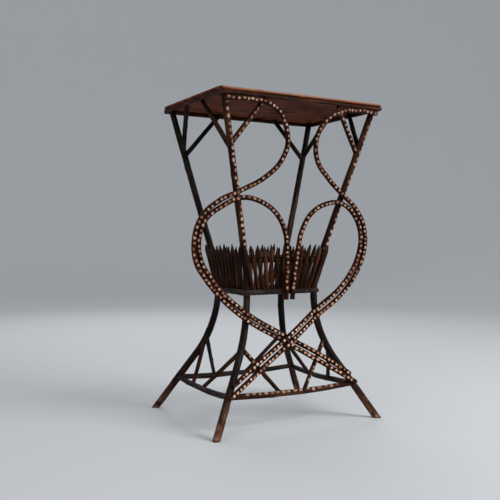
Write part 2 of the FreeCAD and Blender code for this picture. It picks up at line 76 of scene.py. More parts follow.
def kneed_line(low, knee, high, radius):
    """Points along two straight runs joined by one bend near the knee point."""
    down = (low - knee).normalized()
    up = (high - knee).normalized()
    crease = (down + up).normalized()
    cosine = crease.dot(up)
    sine = math.sqrt(1 - cosine ** 2)
    reach = radius * cosine / sine
    start, end = knee + down * reach, knee + up * reach
    centre = knee + crease * (radius / sine)
    first, last = (start - centre).normalized(), (end - centre).normalized()
    foot_pieces, bend_pieces, flare_pieces = 40, 60, 60
    line = [low.lerp(start, i / foot_pieces) for i in range(foot_pieces)]
    line += [centre + first.slerp(last, i / bend_pieces) * radius for i in range(bend_pieces)]
    line += [end.lerp(high, i / flare_pieces) for i in range(flare_pieces + 1)]
    return line


foot_half_x, foot_half_y, foot_skew = 0.2115, 0.1795, 0.0085
knee_half_x, knee_half_y, knee_shift = 0.0675, 0.0565, 0.0045
top_half_x, top_half_y = 0.20305, 0.13505
knee_height, knee_radius = 0.335 * board_top, 0.26
sawn_off = 0.02
leg_lines = {}
for side_x in (LEFT, RIGHT):
    for side_y in (FRONT, BACK):
        foot = Vector((side_x * foot_half_x + side_y * foot_skew, side_y * foot_half_y, 0))
        knee = Vector((side_x * knee_half_x - knee_shift, side_y * knee_half_y, knee_height))
        top = Vector((side_x * top_half_x, side_y * top_half_y, board_underside))
        foot, knee, top = (p + middle(p.z) for p in (foot, knee, top))
        low = foot + (foot - knee).normalized() * sawn_off
        high = top + (top - knee).normalized() * sawn_off
        leg_lines[side_x, side_y] = kneed_line(low, knee, high, knee_radius)


def line_length(line):
    return sum((b - a).length for a, b in zip(line, line[1:]))


def leg_at(leg, height):
    """Point on a leg's axis at a height, and the leg's direction there."""
    for low, high in zip(leg_lines[leg], leg_lines[leg][1:]):
        if low.z <= height <= high.z:
            return low.lerp(high, (height - low.z) / (high.z - low.z)), (high - low).normalized()


def chip_places(start, end, pitch, seed):
    """Where the knife was set along a stick: a hand-spaced row."""
    places = []
    here = start
    while here < end:
        places.append(here)
        here += pitch * (1 + 0.35 * noise.noise(Vector((here * 90, seed, 0.5))))
    return places


def straight_stick(bm, length, thickness, sides, step):
    """A round stick standing on the origin, in rings, with softened ends."""
    bmesh.ops.create_cone(bm, cap_ends=True, segments=sides, radius1=thickness / 2,
                          radius2=thickness / 2, depth=length)
    bmesh.ops.translate(bm, verts=bm.verts, vec=UP * (length / 2))
    ends = [e for e in bm.edges if e.verts[0].co.z == e.verts[1].co.z]
    bmesh.ops.bevel(bm, geom=ends, offset=thickness * 0.07, segments=2, profile=0.5,
                    affect="EDGES", material=-1)
    long_edges = [e for e in bm.edges if abs(e.verts[0].co.z - e.verts[1].co.z) > length / 2]
    bmesh.ops.subdivide_edges(bm, edges=long_edges, cuts=max(2, round(length / step)),
                              use_grid_fill=True)


def shape_bark(bm, length, thickness, taper, lumps, knots, chips, chip_size, scuffed, seed):
    """Tapers a straight stick, raises its lumps and knots and takes its chips out."""
    grain = bm.verts.layers.float_vector.new("grain")
    cut = bm.verts.layers.float.new("cut")
    chip_length, chip_depth = chip_size
    for v in bm.verts:
        run = v.co.z
        angle = math.atan2(v.co.y, v.co.x)
        out = Vector((math.cos(angle), math.sin(angle), 0))
        swell = taper[0] + (taper[1] - taper[0]) * run / length
        spot = Vector((out.x * 0.7, out.y * 0.7, run * 22 + seed * 7.3))
        swell *= 1 + lumps * (noise.noise(spot) + 0.5 * noise.noise(spot * 2.7))
        for place, turn, size in knots:
            apart = (angle - turn + math.pi) % (2 * math.pi) - math.pi
            swell += size * math.exp(-((run - place) / KNOT_LENGTH) ** 2
                                     - (apart / KNOT_SPREAD) ** 2)
        v.co.x *= swell
        v.co.y *= swell
        radius = thickness / 2 * swell
        after = bisect_right(chips, run)
        for place in chips[max(0, after - 1):after + 1]:
            whim = Vector((place * 70, seed, 3.1))
            near = (run - place) / (chip_length / 2 * (1 + 0.6 * noise.noise(whim * 1.3)))
            if abs(near) < 1:
                deep = chip_depth * (1 + 0.7 * noise.noise(whim))
                turn = 0.7 * noise.noise(whim * 1.7)
                knife = Vector((math.cos(turn), math.sin(turn), 0))
                high = v.co.dot(knife) - radius + deep * (1 - near * near)
                if high > 0:
                    v.co -= knife * high
                    v[cut] = min(1, high / (chip_depth * 0.35))
        if run < thickness * 0.01 or run > length - thickness * 0.01:
            v[cut] = END_BARE
        if run < scuffed:
            patch = noise.noise(Vector((v.co.x * 160, v.co.y * 160, run * 60)))
            v[cut] = max(v[cut], SCUFF_BARE * ((1 - run / scuffed) * (0.5 + patch)))
        v[grain] = (v.co.x, v.co.y, run + seed * 1.37)


def bend(bm, line, facing, wander, seed):
    """Bends a straight stick along a line, its +X side turned to the facing."""
    runs = [0]
    for a, b in zip(line, line[1:]):
        runs.append(runs[-1] + (b - a).length)
    stations = []
    for i, point in enumerate(line):
        along = (line[min(i + 1, len(line) - 1)] - line[max(i - 1, 0)]).normalized()
        face = (facing - along * facing.dot(along)).normalized()
        drift = Vector((noise.noise(Vector((runs[i] * 9, seed, 0))),
                        noise.noise(Vector((runs[i] * 9, seed, 8))),
                        noise.noise(Vector((runs[i] * 9, seed, 16)))))
        ease = math.sin(math.pi * runs[i] / runs[-1])
        stations.append((point + drift * wander * ease, along, face))
    for v in bm.verts:
        i = min(max(bisect_right(runs, v.co.z) - 1, 0), len(line) - 2)
        share = (v.co.z - runs[i]) / (runs[i + 1] - runs[i])
        here, along, face = (a.lerp(b, share) for a, b in zip(stations[i], stations[i + 1]))
        along.normalize()
        face = (face - along * face.dot(along)).normalized()
        v.co = here + face * v.co.x + along.cross(face) * v.co.y


def saw(bm, point, normal):
    """A level saw cut: what lies beyond the plane falls off and the end is closed."""
    cut = bm.verts.layers.float["cut"]
    grain = bm.verts.layers.float_vector["grain"]
    made = bmesh.ops.bisect_plane(bm, geom=bm.verts[:] + bm.edges[:] + bm.faces[:],
                                  plane_co=point, plane_no=normal, clear_outer=True)
    rim = [e for e in made["geom_cut"] if isinstance(e, bmesh.types.BMEdge)]
    if not rim:
        return
    closed = bmesh.ops.edgeloop_fill(bm, edges=rim)["faces"]
    inner = bmesh.ops.inset_individual(bm, faces=closed, thickness=0.0008, depth=0.0003)
    for v in {v for f in closed for v in f.verts}:
        v[cut] = SAWN_BARE
    for v in {v for f in inner["faces"] for v in f.verts}:
        if not v[grain].length:
            v[grain] = v.co


def finish_piece(name, bm, material, slot, *nodes):
    """Turns a finished bmesh into an object of the table that stands for its solids."""
    bmesh.ops.recalc_face_normals(bm, faces=bm.faces)
    mesh = bpy.data.meshes.new(name)
    bm.to_mesh(mesh)
    bm.free()
    mesh.shade_smooth()
    mesh.materials.append(material)
    piece = bpy.data.objects.new(name, mesh)
    bpy.context.scene.collection.objects.link(piece)
    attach(piece, "root")
    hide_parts(*nodes)
    return piece


def twig(node, line, thickness, material, slot, facing=FRONTWARD, seed=0.0, sides=14, step=0.003,
         taper=(1.0, 1.0), lumps=0.05, knots=(), chips=(), chip_size=(0.0060, 0.0011), scuffed=0.0,
         wander=0.0, cuts=()):
    """One bark-covered stick, shaped straight, bent along its line and sawn."""
    length = line_length(line)
    bm = bmesh.new()
    straight_stick(bm, length, thickness, sides, step)
    shape_bark(bm, length, thickness, taper, lumps, knots, chips, chip_size, scuffed, seed)
    bend(bm, line, facing, wander, seed)
    for point, normal in cuts:
        saw(bm, point, normal)
    return finish_piece(node, bm, material, slot, node)


def link(tree, source, target):
    tree.links.new(source, target)


def ramp(tree, factor, stops):
    """A colour ramp fed by a factor."""
    node = tree.nodes.new("ShaderNodeValToRGB")
    while len(node.color_ramp.elements) < len(stops):
        node.color_ramp.elements.new(0.5)
    for element, (place, colour) in zip(node.color_ramp.elements, stops):
        element.position = place
        element.color = (*colour, 1) if len(colour) == 3 else colour
    link(tree, factor, node.inputs["Fac"])
    return node.outputs["Color"]


def grain_noise(tree, source, scale, detail, roughness=0.6, distortion=0.0):
    """Noise stretched by a scale of its own along each direction of the stick."""
    mapping = tree.nodes.new("ShaderNodeMapping")
    mapping.inputs["Scale"].default_value = scale
    link(tree, source, mapping.inputs["Vector"])
    node = tree.nodes.new("ShaderNodeTexNoise")
    node.inputs["Scale"].default_value = 1.0
    node.inputs["Detail"].default_value = detail
    node.inputs["Roughness"].default_value = roughness
    node.inputs["Distortion"].default_value = distortion
    link(tree, mapping.outputs["Vector"], node.inputs["Vector"])
    return node.outputs["Fac"]


def mixed(tree, factor, first, second, blend="MIX"):
    node = tree.nodes.new("ShaderNodeMix")
    node.data_type = "RGBA"
    node.blend_type = blend
    if isinstance(factor, float):
        node.inputs["Factor"].default_value = factor
    else:
        link(tree, factor, node.inputs["Factor"])
    for value, socket in ((first, node.inputs["A"]), (second, node.inputs["B"])):
        if isinstance(value, tuple):
            socket.default_value = (*value, 1)
        else:
            link(tree, value, socket)
    return node.outputs["Result"]


def attribute(tree, name, output):
    node = tree.nodes.new("ShaderNodeAttribute")
    node.attribute_name = name
    return node.outputs[output]


def bumped(tree, shader, height, strength, distance):
    node = tree.nodes.new("ShaderNodeBump")
    node.inputs["Strength"].default_value = strength
    node.inputs["Distance"].default_value = distance
    link(tree, height, node.inputs["Height"])
    link(tree, node.outputs["Normal"], shader.inputs["Normal"])


def bark(name, deep, plain, worn, raw=((0.20, 0.082, 0.046), (0.50, 0.31, 0.215)),
         patch=(60, 60, 17), tints=None, raw_tints=None):
    """Bark with long streaks and rubbed patches, and raw wood where the knife went in."""
    material = bpy.data.materials.new(name)
    material.use_nodes = True
    tree = material.node_tree
    shader = tree.nodes["Principled BSDF"]
    grain = attribute(tree, "grain", "Vector")
    streaks = grain_noise(tree, grain, (260, 260, 26), 5, 0.65, 0.4)
    patches = grain_noise(tree, grain, patch, 3, 0.55)
    fine = grain_noise(tree, grain, (900, 900, 160), 3)
    skin = ramp(tree, streaks, ((0.30, deep), (0.52, plain), (0.74, worn)))
    rubbed = ramp(tree, patches, ((0.50, (0, 0, 0)), (0.72, (1, 1, 1))))
    skin = mixed(tree, rubbed, skin, worn)
    specks = ramp(tree, fine, ((0.3, (0.25, 0.25, 0.25)), (0.7, (1, 1, 1))))
    skin = mixed(tree, 0.35, skin, specks, "MULTIPLY")
    flecks = grain_noise(tree, grain, (70, 70, 75), 4, 0.7)
    wood = ramp(tree, flecks, ((0.40, raw[0]), (0.58, raw[1])))
    height = tree.nodes.new("ShaderNodeSeparateXYZ")
    link(tree, tree.nodes.new("ShaderNodeTexCoord").outputs["Object"], height.inputs["Vector"])
    if tints:
        skin = mixed(tree, 1.0, skin, ramp(tree, height.outputs["Z"], tints), "MULTIPLY")
    if raw_tints:
        wood = mixed(tree, 1.0, wood, ramp(tree, height.outputs["Z"], raw_tints), "MULTIPLY")
    bare = ramp(tree, attribute(tree, "cut", "Fac"), ((0.10, (0, 0, 0)), (0.42, (1, 1, 1))))
    link(tree, mixed(tree, bare, skin, wood), shader.inputs["Base Color"])
    link(tree, ramp(tree, streaks, ((0.3, (0.72, 0.72, 0.72)), (0.7, (0.48, 0.48, 0.48)))),
         shader.inputs["Roughness"])
    shader.inputs["Specular IOR Level"].default_value = 0.10
    shader.inputs["Specular Tint"].default_value = (1.0, 0.70, 0.52, 1)
    bumped(tree, shader, mixed(tree, 0.35, streaks, fine), 0.55, 0.0012)
    return material


# The front pair is reddish above the basket, partly their bark and partly painted light
# where the upper legs are lit, and reddish at the feet, and grey between, which is a
# painted grey sheen. The back pair is almost black but for their rubbed feet and a worn
# stretch of the right one
rubbed, grey, brown = (1, 1, 0.80), (0.28, 0.49, 0.51), (0.47, 0.48, 0.35)
leg_bark = bark("leg_bark", (0.0120, 0.0048, 0.0046), (0.040, 0.0160, 0.0150),
                (0.170, 0.066, 0.050),
                tints=((0.02, rubbed), (0.12, grey), (0.27, grey), (0.44, brown)),
                raw_tints=((0.42, (1, 1, 1)), (0.60, (0.82, 0.82, 0.82))))
back_colours = (0.0095, 0.0040, 0.0026), (0.030, 0.0126, 0.0078), (0.130, 0.057, 0.036)
# black darkens the back pair, partly their dark bark and partly painted shade, and gives them a
# blue-grey cast that is a painted reflection
black, worn_red = (0.167, 0.32, 0.46), (0.67, 0.75, 1)
rubbed_foot = (0.04, (1, 1, 1)), (0.15, black)
worn_stretch = (0.34, black), (0.40, worn_red), (0.50, worn_red), (0.58, black)
back_bark = bark("back_bark", *back_colours, tints=rubbed_foot)
worn_bark = bark("worn_bark", *back_colours, tints=rubbed_foot + worn_stretch)

leg_thickness = 0.0155
leg_knots, first_knot, knot_pitch, knot_shift, knot_swell = 5, 0.09, 0.137, 0.03, 0.10
first_leg_chip, last_leg_chip, leg_chip_pitch, leg_chip_length = 0.43, 0.035, 0.0142, 0.0080
floor_cut = (Vector((0, 0, 0)), -UP)
board_cut = (Vector((0, 0, board_underside)), UP)
for number, ((side_x, side_y), line) in enumerate(leg_lines.items()):
    chips, skin = (), back_bark if side_x == LEFT else worn_bark
    if side_y == FRONT:
        chips = chip_places(first_leg_chip, line_length(line) - last_leg_chip,
                            leg_chip_pitch, number)
        skin = leg_bark
    knots = [(first_knot + knot_pitch * k + knot_shift * number, 1.1 + 2.3 * k, knot_swell)
             for k in range(leg_knots)]
    chip_turn, chip_depth = (0.25, 0.0009) if side_x == LEFT else (0.55, 0.0006)
    twig("leg_%s_%s" % (DEPTH_WORD[side_y], SIDE_WORD[side_x]), line, leg_thickness, skin,
         "leg_bark", facing=Vector((chip_turn, -1, 0)), seed=number + 1.0, sides=26, step=0.0020,
         taper=(1.09, 0.93), lumps=0.07, knots=knots, chips=chips,
         chip_size=(leg_chip_length, chip_depth), scuffed=0.12, wander=0.0012,
         cuts=(floor_cut, board_cut))

# STRETCHERS
# Four sagging twigs that tie the legs a hand's width above the floor, hollowed
# at the ends to sit on the legs and nailed there. The front one has chips cut
# along its upper edge, the others have weathered grey.

FACES = {
    "front": ((LEFT, FRONT), (RIGHT, FRONT)),
    "back": ((LEFT, BACK), (RIGHT, BACK)),
    "left": ((LEFT, FRONT), (LEFT, BACK)),
    "right": ((RIGHT, FRONT), (RIGHT, BACK)),
}
OUTLOOK = {
    "front": Vector((0, -1, 0)),
    "back": Vector((0, 1, 0)),
    "left": Vector((-1, 0, 0)),
    "right": Vector((1, 0, 0)),
}


def eased_line(points, pieces=14):
    """A smooth line through a few points, bent as a springy twig bends."""
    turns = []
    for before, here, after in zip(points, points[1:], points[2:]):
        back, ahead = here - before, after - here
        turns.append((back / back.length_squared + ahead / ahead.length_squared).normalized())
    first = (points[1] - points[0]).normalized()
    last = (points[-1] - points[-2]).normalized()
    turns.insert(0, first * (2 * first.dot(turns[0])) - turns[0])
    turns.append(last * (2 * last.dot(turns[-1])) - turns[-1])
    line = [points[0]]
    for a, b, out, into in zip(points, points[1:], turns, turns[1:]):
        reach = (b - a).length / (1 + max(0.1, out.dot(into))) * 2 / 3
        for i in range(1, pieces + 1):
            t = i / pieces
            u = 1 - t
            line.append(a * u ** 3 + (a + out * reach) * (3 * u * u * t)
                        + (b - into * reach) * (3 * u * t * t) + b * t ** 3)
    return line


grey_bark = bark("grey_bark", (0.005, 0.0035, 0.0031), (0.020, 0.0138, 0.0115),
                 (0.075, 0.054, 0.044))
red_bark = bark("red_bark", (0.005, 0.0020, 0.0014), (0.026, 0.0085, 0.005), (0.095, 0.035, 0.020))
stretcher_height = 0.107 * board_top
stretcher_thickness, stretcher_sag = 0.012, 0.006
first_stretcher_chip, last_stretcher_chip, stretcher_chip_pitch = 0.045, 0.030, 0.0160
stretcher_lines = {}
for number, (face, (first, second)) in enumerate(FACES.items()):
    a, b = leg_at(first, stretcher_height)[0], leg_at(second, stretcher_height)[0]
    line = eased_line([a, (a + b) / 2 - UP * stretcher_sag, b], 30)
    stretcher_lines[face] = line
    chips, skin = (), grey_bark
    if face == "front":
        chips = chip_places(first_stretcher_chip, line_length(line) - last_stretcher_chip,
                            stretcher_chip_pitch, 11)
        skin = red_bark
    twig("stretcher_%s" % face, line, stretcher_thickness, skin, "grey_bark",
         facing=OUTLOOK[face] + UP * 1.2, seed=11.0 + number, taper=(1.14, 1.02), lumps=0.09,
         knots=((0.11, 2.0, 0.14), (0.22, 4.2, 0.12)), chips=chips, chip_size=(0.0100, 0.0009),
         sides=20, step=0.0020, wander=0.003)

# BASE BRACES
# Two thin twigs on each leg, from its bend down to the stretchers on both of
# its sides, hollowed at both ends and nailed slantwise. Those of the front
# have chips cut along them.

base_brace_thickness = 0.0095
first_base_chip, last_base_chip, base_chip_pitch = 0.016, (0.07, 0.02), 0.0125
# Root height in stretcher heights, and share of the stretcher that it reaches
base_braces = {
    ("front", 0): (2.2, 0.40), ("front", 1): (2.28, 0.42),
    ("back", 0): (2.28, 0.30), ("back", 1): (2.24, 0.43),
    ("left", 0): (2.12, 0.50), ("left", 1): (2.16, 0.32),
    ("right", 0): (2.04, 0.37), ("right", 1): (1.98, 0.31),
}


def brace_name(level, face, leg):
    own = SIDE_WORD[leg[0]] if face in ("front", "back") else DEPTH_WORD[leg[1]]
    return "%s_brace_%s_%s" % (level, face, own)


def straight_line(a, b, pieces=16):
    return [a.lerp(b, i / pieces) for i in range(pieces + 1)]


for number, ((face, end), (root_share, reach)) in enumerate(base_braces.items()):
    own = FACES[face][end]
    root = leg_at(own, root_share * stretcher_height)[0]
    run = stretcher_lines[face]
    foot = run[round((reach if end == 0 else 1 - reach) * (len(run) - 1))]
    length = (foot - root).length
    chips = ()
    if face == "front":
        chips = chip_places(first_base_chip, length - last_base_chip[end], base_chip_pitch, number)
    skin = red_bark if face in ("front", "left") else leg_bark
    twig(brace_name("base", face, own), straight_line(root, foot), base_brace_thickness, skin,
         "leg_bark", facing=OUTLOOK[face], seed=20.0 + number,
         taper=(1.08, 0.94), lumps=0.09, knots=((length * 0.6, 1.7, 0.2),), chips=chips,
         chip_size=(0.0062, 0.0007), sides=20, step=0.0018, wander=0.0025)

# One thin old board, stained red brown, with a pale front edge that is partly rubbed wear
# and partly a painted highlight, the other edges kept darker as painted shade, rounded
# corners, dark blots and nail heads set flush in its top.


def aged_board(name, along, dark, stain, pale, edge=None):
    """Sawn wood with grain along one direction, stains, and a pale edge that is partly wear and
    partly painted highlight.
    """
    material = bpy.data.materials.new(name)
    material.use_nodes = True
    tree = material.node_tree
    shader = tree.nodes["Principled BSDF"]
    place = tree.nodes.new("ShaderNodeTexCoord").outputs["Object"]
    scales = {"X": (7, 90, 90), "Y": (90, 7, 90)}[along]
    grain = grain_noise(tree, place, scales, 6, 0.6, 0.8)
    fine = grain_noise(tree, place, tuple(4 * s for s in scales), 4)
    blots = grain_noise(tree, place, (9, 16, 9), 4, 0.6, 0.6)
    wood = ramp(tree, grain, ((0.34, dark), (0.50, stain), (0.66, pale)))
    pores = ramp(tree, fine, ((0.3, (0.4, 0.4, 0.4)), (0.7, (1, 1, 1))))
    wood = mixed(tree, 0.45, wood, pores, "MULTIPLY")
    marks = ramp(tree, blots, ((0.37, (0.16, 0.13, 0.12)), (0.54, (1, 1, 1))))
    wood = mixed(tree, 0.8, wood, marks, "MULTIPLY")
    if edge:
        patches = grain_noise(tree, place, (45, 45, 45), 4)
        rubbed = ramp(tree, patches, ((0.30, (0.25, 0.25, 0.25)), (0.44, (1, 1, 1))))
        worn = mixed(tree, attribute(tree, "worn", "Fac"), (0, 0, 0), rubbed)
        wood = mixed(tree, worn, wood, edge)
    link(tree, wood, shader.inputs["Base Color"])
    link(tree, ramp(tree, fine, ((0.3, (0.75, 0.75, 0.75)), (0.7, (0.5, 0.5, 0.5)))),
         shader.inputs["Roughness"])
    shader.inputs["Specular IOR Level"].default_value = 0.03
    shader.inputs["Specular Tint"].default_value = (1.0, 0.70, 0.50, 1)
    bumped(tree, shader, mixed(tree, 0.5, grain, fine), 0.35, 0.0008)
    return material


board_wood = aged_board("board_wood", "X", (0.030, 0.0050, 0.0013), (0.120, 0.0235, 0.0056),
                        (0.24, 0.062, 0.018), edge=(0.33, 0.178, 0.120))
board_size = board_high - board_low
board_centre = (board_low + board_high) / 2
corner_radius, edge_radius = 0.014, 0.0018
worn_band, worn_rise, front_wear_and_highlight, shaded_edge_wear = 0.0025, 0.0045, 1.0, 0.12
ragged_band, raggedness, warp = 0.004, 0.0011, 0.0004
bm = bmesh.new()
bmesh.ops.create_cube(bm, size=1)
bmesh.ops.scale(bm, verts=bm.verts, vec=board_size)
bmesh.ops.translate(bm, verts=bm.verts, vec=board_centre)
corners = [e for e in bm.edges if abs(e.verts[0].co.z - e.verts[1].co.z) > board_size.z / 2]
bmesh.ops.bevel(bm, geom=corners, offset=corner_radius, segments=7, profile=0.5, affect="EDGES",
                material=-1)
rims = [e for e in bm.edges if e.verts[0].co.z == e.verts[1].co.z]
bmesh.ops.bevel(bm, geom=rims, offset=edge_radius, segments=3, profile=0.5, affect="EDGES",
                material=-1)
for axis, count in ((0, 60), (1, 42)):
    for i in range(1, count):
        cut_at = Vector(board_low)
        cut_at[axis] += board_size[axis] * i / count
        normal = Vector((axis == 0, axis == 1, 0))
        bmesh.ops.bisect_plane(bm, geom=bm.verts[:] + bm.edges[:] + bm.faces[:], plane_co=cut_at,
                               plane_no=normal)
# The front edge's pale band is partly wear and partly a painted highlight; the other edges get
# little of it, which is painted shade.
worn = bm.verts.layers.float.new("worn")
for v in bm.verts:
    inset = min(v.co.x - board_low.x, board_high.x - v.co.x,
                v.co.y - board_low.y, board_high.y - v.co.y)
    if inset < worn_band and v.co.z > board_low.z + worn_rise:
        v[worn] = front_wear_and_highlight if v.co.y - board_low.y < worn_band else shaded_edge_wear
    if inset < ragged_band:
        ragged = raggedness * (noise.noise(v.co * 55) - 0.5)
        v.co.x -= math.copysign(abs(ragged), v.co.x - board_centre.x)
        v.co.y -= math.copysign(abs(ragged), v.co.y - board_centre.y)
    v.co.z += warp * noise.noise(Vector((v.co.x * 14, v.co.y * 30, 0))) - warp
finish_piece("top_board", bm, board_wood, "board_wood", "top_board")

# RIM TWIGS
# Four thin red-brown twigs nailed on under the edge of the board, the long two
# at the front and the back, the short two set between them.


def level_line(node, pieces, short=0.0):
    """A line down the middle of a level solid, which may stop short of its far end."""
    low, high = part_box(node)
    centre = (low + high) / 2
    half = Vector(((high.x - low.x) / 2, 0, 0))
    if high.y - low.y > high.x - low.x:
        half = Vector((0, (high.y - low.y) / 2, 0))
    return straight_line(centre - half, centre + (half - half.normalized() * short), pieces)


rim_thickness = 0.009
for number, face in enumerate(FACES):
    node = "rim_%s" % face
    twig(node, level_line(node, 40), rim_thickness, red_bark, "rim_bark",
         facing=OUTLOOK[face], seed=30.0 + number, taper=(1.05, 0.92), lumps=0.10,
         knots=((0.07, 1.0, 0.12), (0.17, 5.2, 0.15), (0.26, 2.6, 0.12)), wander=0.0016)

# TOP BRACES
# Two twigs fork from each leg and run up to the underside of the board, one
# along each side, sawn level at the board and nailed into it.

top_brace_thickness, past_board = 0.011, 0.012
first_top_chip, last_top_chip, top_chip_pitch = 0.016, 0.012, 0.0135
# Share of the board's height where it leaves the leg, and share of the side that
# it reaches
top_braces = {
    ("front", 0): (0.85, 0.27), ("front", 1): (0.845, 0.27),
    ("back", 0): (0.845, 0.33), ("back", 1): (0.86, 0.28),
    ("left", 0): (0.835, 0.40), ("left", 1): (0.86, 0.33),
    ("right", 0): (0.865, 0.36), ("right", 1): (0.87, 0.32),
}
for number, ((face, end), (root_share, reach)) in enumerate(top_braces.items()):
    own, other = FACES[face][end], FACES[face][1 - end]
    root = leg_at(own, root_share * board_underside)[0]
    tip = leg_at(own, board_underside)[0].lerp(leg_at(other, board_underside)[0], reach)
    past = tip + (tip - root).normalized() * past_board
    length = (tip - root).length
    chips = ()
    if face == "front":
        chips = chip_places(first_top_chip, length - last_top_chip, top_chip_pitch, 40 + number)
    skin = leg_bark if face in ("front", "left") and own[1] == FRONT else back_bark
    twig(brace_name("top", face, own), straight_line(root, past), top_brace_thickness, skin,
         "leg_bark", facing=OUTLOOK[face], seed=40.0 + number,
         taper=(1.06, 0.96), lumps=0.07, knots=((length * 0.55, 2.4, 0.14),), chips=chips,
         chip_size=(0.0068, 0.0008), sides=20, step=0.0018, wander=0.0012, cuts=(board_cut,))

# BASKET FLOOR AND TOP RAILS
# A rough board notched round the legs, and above it four dark twigs from leg
# to leg that the pickets are nailed to from outside.

floor_wood = aged_board("floor_wood", "X", (0.020, 0.010, 0.006), (0.055, 0.028, 0.016),
                        (0.12, 0.066, 0.038))
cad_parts["basket_floor"].data.materials.clear()
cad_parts["basket_floor"].data.materials.append(floor_wood)
top_rail_thickness = 0.015
for number, face in enumerate(FACES):
    node = "basket_top_rail_%s" % face
    twig(node, level_line(node, 24), top_rail_thickness, leg_bark, "leg_bark", facing=OUTLOOK[face],
         seed=50.0 + number, taper=(1.02, 0.96), lumps=0.06, wander=0.0008)

# PICKETS
# Short twigs split in half, round bark outside and bare wood inside, cut to a
# point by eye. Their feet stand between the legs and their tips fan out past
# them. No two are quite alike.

split_wood, long_patch = ((0.07, 0.034, 0.020), (0.20, 0.12, 0.075)), (25, 25, 5)
# The front row's bark is lighter than the other rows': the same bark, with painted light on the
# front row and painted shade on the other rows.
split_twig = bark("split_twig", (0.003, 0.0014, 0.0010), (0.014, 0.0054, 0.0036),
                  (0.085, 0.030, 0.0155), raw=split_wood, patch=long_patch)
lit_front_split = bark("lit_front_split", (0.004, 0.0016, 0.0010), (0.022, 0.0074, 0.0042),
                   (0.165, 0.056, 0.0250), raw=split_wood, patch=long_patch)
picket_shares = (1.0, 0.965, 1.01, 0.98, 1.025, 0.955, 0.99)
foot_low, picket_length, picket_point = 0.3935 * board_top, 0.112, 0.017
long_count, short_count = 14, 10
long_width, short_width, picket_thickness = 0.0098, 0.0112, 0.0060


def between_legs(height):
    """Middle of the legs at a height, and half the width and depth between their axes."""
    axes = [leg_at(leg, height)[0] for leg in leg_lines]
    centre = sum(axes, Vector()) / len(axes)
    half_x, half_y = (sum(abs(axis[i] - centre[i]) for axis in axes) / len(axes) for i in (0, 1))
    return centre, half_x, half_y


def add_picket(bm, foot, tip, outward, width, thickness, seed):
    """One split twig with its point, set up between a foot and a tip."""
    grain = bm.verts.layers.float_vector["grain"]
    cut = bm.verts.layers.float["cut"]
    length = (tip - foot).length
    standing = len(bm.verts)
    made = bmesh.ops.create_cone(bm, cap_ends=True, segments=14, radius1=1, radius2=1, depth=1)
    sides = {e for v in made["verts"] for e in v.link_edges}
    upright = [e for e in sides if abs(e.verts[0].co.z - e.verts[1].co.z) > 0.5]
    bmesh.ops.subdivide_edges(bm, edges=upright, cuts=17, use_grid_fill=True)
    bm.verts.ensure_lookup_table()
    verts = bm.verts[standing:]
    up = (tip - foot).normalized()
    side = up.cross(outward).normalized()
    face = side.cross(up)
    for v in verts:
        run = (v.co.z + 0.5) * length
        swell = 1 + 0.10 * noise.noise(Vector((v.co.x, v.co.y, run * 30 + seed * 5)))
        x = v.co.x * width / 2 * swell * (0.86 + 0.14 * min(1, run / (length * 0.7)))
        y = max(0.0, v.co.y) * thickness * swell
        inner = v.co.y < 0.01
        shoulder = length - picket_point * (1 + 0.2 * noise.noise(Vector((seed, 0.3, 0))))
        slope = 1.0
        if run > shoulder:
            slope = max(0.06, (length - run) / (length - shoulder))
            x = max(-width / 2 * slope, min(width / 2 * slope, x))
            y = min(y, thickness * (0.35 + 0.65 * slope))
        v[grain] = (x, y, run + seed * 0.9)
        v[cut] = SPLIT_BARE if inner and slope > 0.95 else 0.0
        v.co = foot + side * x + face * y + up * run


low_centre, low_x, low_y = between_legs(foot_low)
high_centre, high_x, high_y = between_legs(foot_low + picket_length)
foot_step, tip_step = 0.0060, 0.0089
foot_clear, tip_clear = 0.01385, -0.0032
foot_stray, tip_stray, length_spread, width_spread = 0.0022, 0.0030, 0.02, 0.30
for row_number, face in enumerate(FACES):
    long_side = face in ("front", "back")
    count, plain_width = (long_count, long_width) if long_side else (short_count, short_width)
    side = 1 if face in ("back", "right") else -1
    bm = bmesh.new()
    bm.verts.layers.float_vector.new("grain")
    bm.verts.layers.float.new("cut")
    for number in range(count):
        share = 2 * number / (count - 1) - 1
        if long_side:
            foot = Vector((share * (low_x - foot_clear), side * (low_y + foot_step), 0))
            tip = Vector((share * (high_x - tip_clear), side * (high_y + tip_step), 0))
        else:
            foot = Vector((side * (low_x + foot_step), share * (low_y - foot_clear), 0))
            tip = Vector((side * (high_x + tip_step), share * (high_y - tip_clear), 0))
        foot, tip = low_centre + foot, high_centre + tip
        seed = row_number * 20.0 + number
        length_share = picket_shares[number % len(picket_shares)]
        tip = foot.lerp(tip, length_share + length_spread * noise.noise(Vector((seed * 1.3, 0, 4))))
        along = OUTLOOK[face].cross(UP)
        tip += along * tip_stray * noise.noise(Vector((seed * 2.1, 5, 0)))
        if 0 < number < count - 1:
            foot += along * foot_stray * noise.noise(Vector((seed * 1.9, 9, 0)))
        width = plain_width * (1 + width_spread * noise.noise(Vector((seed * 3.7, 0, 9))))
        add_picket(bm, foot, tip, OUTLOOK[face], width, picket_thickness, seed)
    skin = lit_front_split if face == "front" else split_twig
    finish_piece("pickets_%s" % face, bm, skin, "split_twig", "pickets_%s" % face)

# BASE RAILS
# Four weathered grey twigs nailed to the outside of the pickets' feet, a little
# crooked. The front one runs past the left corner, where the left one meets it.

base_rail_thickness, front_rail_short = 0.011, 0.006
for number, face in enumerate(FACES):
    node = "basket_base_rail_%s" % face
    line = level_line(node, 40, front_rail_short if face == "front" else 0.0)
    twig(node, line, base_rail_thickness, grey_bark, "grey_bark", facing=OUTLOOK[face],
         seed=60.0 + number, taper=(1.18, 0.94), lumps=0.12,
         knots=((0.06, 0.6, 0.16), (0.13, 5.6, 0.14)), wander=0.004)
